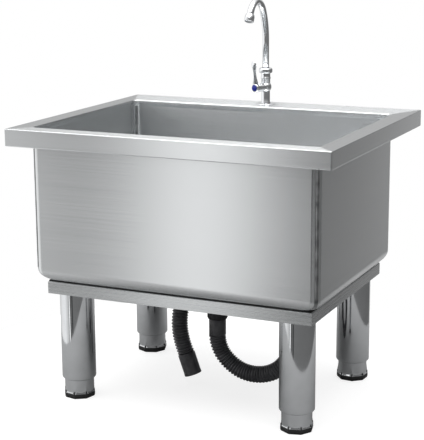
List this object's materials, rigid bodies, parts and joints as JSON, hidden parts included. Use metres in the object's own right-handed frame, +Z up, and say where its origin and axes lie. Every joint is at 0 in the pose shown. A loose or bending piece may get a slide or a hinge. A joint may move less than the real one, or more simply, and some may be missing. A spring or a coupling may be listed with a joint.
{
  "type": "pet bathtub",
  "caption": "Free-standing sheet-steel animal bath: deep bowl, flat rim, screw feet, swan-neck tap and ribbed drain hose.",
  "frame": {"origin": "on the floor under the middle of the rim", "axes": "+X to the right, +Y towards the rear ledge with the tap, +Z up"},
  "size_m": [0.8, 0.662, 0.9414],
  "materials": {
    "brushed_stainless": "brushed stainless steel sheet, welds ground flush",
    "mill_stainless": "plain rolled stainless steel, welded",
    "polished_stainless": "polished stainless steel tube",
    "chrome_plate": "bright chrome plate",
    "zinc_steel": "zinc-plated steel",
    "plain_brass": "turned brass",
    "black_rubber": "matte moulded rubber",
    "hose_rubber": "satin ribbed flexible plastic",
    "black_plastic": "matte moulded polypropylene",
    "blue_plastic": "glossy blue index cap"
  },
  "bodies": {
    "tub": {"tub_basin": "brushed_stainless", "tub_rim": "brushed_stainless", "frame_front_rail": "brushed_stainless", "frame_rear_rail": "brushed_stainless", "frame_left_rail": "brushed_stainless", "frame_right_rail": "brushed_stainless", "frame_brace_left": "mill_stainless", "frame_brace_right": "mill_stainless", "bearing_strip": "black_rubber", "leg_plate_front_left": "mill_stainless", "leg_tube_front_left": "polished_stainless", "leg_insert_front_left": "zinc_steel", "leg_plate_front_right": "mill_stainless", "leg_tube_front_right": "polished_stainless", "leg_insert_front_right": "zinc_steel", "leg_plate_rear_left": "mill_stainless", "leg_tube_rear_left": "polished_stainless", "leg_insert_rear_left": "zinc_steel", "leg_plate_rear_right": "mill_stainless", "leg_tube_rear_right": "polished_stainless", "leg_insert_rear_right": "zinc_steel", "drain_cup": "brushed_stainless", "drain_gasket": "black_rubber", "drain_locknut": "zinc_steel", "drain_tailpiece": "black_plastic", "hose_coupling_nut": "black_plastic", "hose_cuff_upper": "hose_rubber", "hose_run": "hose_rubber", "hose_cuff_end": "hose_rubber", "hose_clip": "zinc_steel", "tap_flange": "chrome_plate", "tap_body": "chrome_plate", "tap_shank": "plain_brass", "tap_washer": "black_rubber", "tap_locknut": "plain_brass", "tap_spout_nut": "chrome_plate", "tap_cartridge": "plain_brass", "tap_bonnet": "chrome_plate"},
    "spout": {"tap_spout": "chrome_plate", "tap_aerator": "chrome_plate"},
    "tap_handle": {"tap_lever": "chrome_plate", "tap_index_button": "blue_plastic"},
    "strainer": {"strainer_basket": "brushed_stainless", "strainer_knob": "chrome_plate"},
    "pad_front_left": {"foot_pad_front_left": "black_rubber"},
    "foot_front_left": {"foot_plug_front_left": "black_plastic", "foot_sleeve_front_left": "polished_stainless", "foot_stem_front_left": "zinc_steel"},
    "pad_front_right": {"foot_pad_front_right": "black_rubber"},
    "foot_front_right": {"foot_plug_front_right": "black_plastic", "foot_sleeve_front_right": "polished_stainless", "foot_stem_front_right": "zinc_steel"},
    "pad_rear_left": {"foot_pad_rear_left": "black_rubber"},
    "foot_rear_left": {"foot_plug_rear_left": "black_plastic", "foot_sleeve_rear_left": "polished_stainless", "foot_stem_rear_left": "zinc_steel"},
    "pad_rear_right": {"foot_pad_rear_right": "black_rubber"},
    "foot_rear_right": {"foot_plug_rear_right": "black_plastic", "foot_sleeve_rear_right": "polished_stainless", "foot_stem_rear_right": "zinc_steel"}
  },
  "joints": [
    {"name": "spout_swivel", "type": "hinge", "parent": "tub", "child": "spout", "pos_m": [0, 0.281, 0.75], "axis": [0, 0, 1], "continuous": true},
    {"name": "handle_turn", "type": "hinge", "parent": "tub", "child": "tap_handle", "pos_m": [0, 0.281, 0.712], "axis": [-0.3746, -0.9272, 0], "range_deg": [0, 90]},
    {"name": "strainer_lift", "type": "slide", "parent": "tub", "child": "strainer", "axis": [0, 0, 1], "range_m": [0, 0.42]},
    {"name": "foot_travel_front_left", "type": "slide", "parent": "tub", "child": "pad_front_left", "axis": [0, 0, -1], "range_m": [-0.015, 0.02]},
    {"name": "foot_turn_front_left", "type": "hinge", "parent": "pad_front_left", "child": "foot_front_left", "pos_m": [-0.2845, -0.219, 0.02], "axis": [0, 0, -1], "range_deg": [-2160, 2880]},
    {"name": "foot_travel_front_right", "type": "slide", "parent": "tub", "child": "pad_front_right", "axis": [0, 0, -1], "range_m": [-0.015, 0.02]},
    {"name": "foot_turn_front_right", "type": "hinge", "parent": "pad_front_right", "child": "foot_front_right", "pos_m": [0.2845, -0.219, 0.02], "axis": [0, 0, -1], "range_deg": [-2160, 2880]},
    {"name": "foot_travel_rear_left", "type": "slide", "parent": "tub", "child": "pad_rear_left", "axis": [0, 0, -1], "range_m": [-0.015, 0.02]},
    {"name": "foot_turn_rear_left", "type": "hinge", "parent": "pad_rear_left", "child": "foot_rear_left", "pos_m": [-0.2845, 0.171, 0.02], "axis": [0, 0, -1], "range_deg": [-2160, 2880]},
    {"name": "foot_travel_rear_right", "type": "slide", "parent": "tub", "child": "pad_rear_right", "axis": [0, 0, -1], "range_m": [-0.015, 0.02]},
    {"name": "foot_turn_rear_right", "type": "hinge", "parent": "pad_rear_right", "child": "foot_rear_right", "pos_m": [0.2845, 0.171, 0.02], "axis": [0, 0, -1], "range_deg": [-2160, 2880]}
  ],
  "couplings": [
    {"joint": "foot_travel_front_left", "follows": "foot_turn_front_left", "m_per_rad": 0.00039788},
    {"joint": "foot_travel_front_right", "follows": "foot_turn_front_right", "m_per_rad": 0.00039788},
    {"joint": "foot_travel_rear_left", "follows": "foot_turn_rear_left", "m_per_rad": 0.00039788},
    {"joint": "foot_travel_rear_right", "follows": "foot_turn_rear_right", "m_per_rad": 0.00039788}
  ]
}
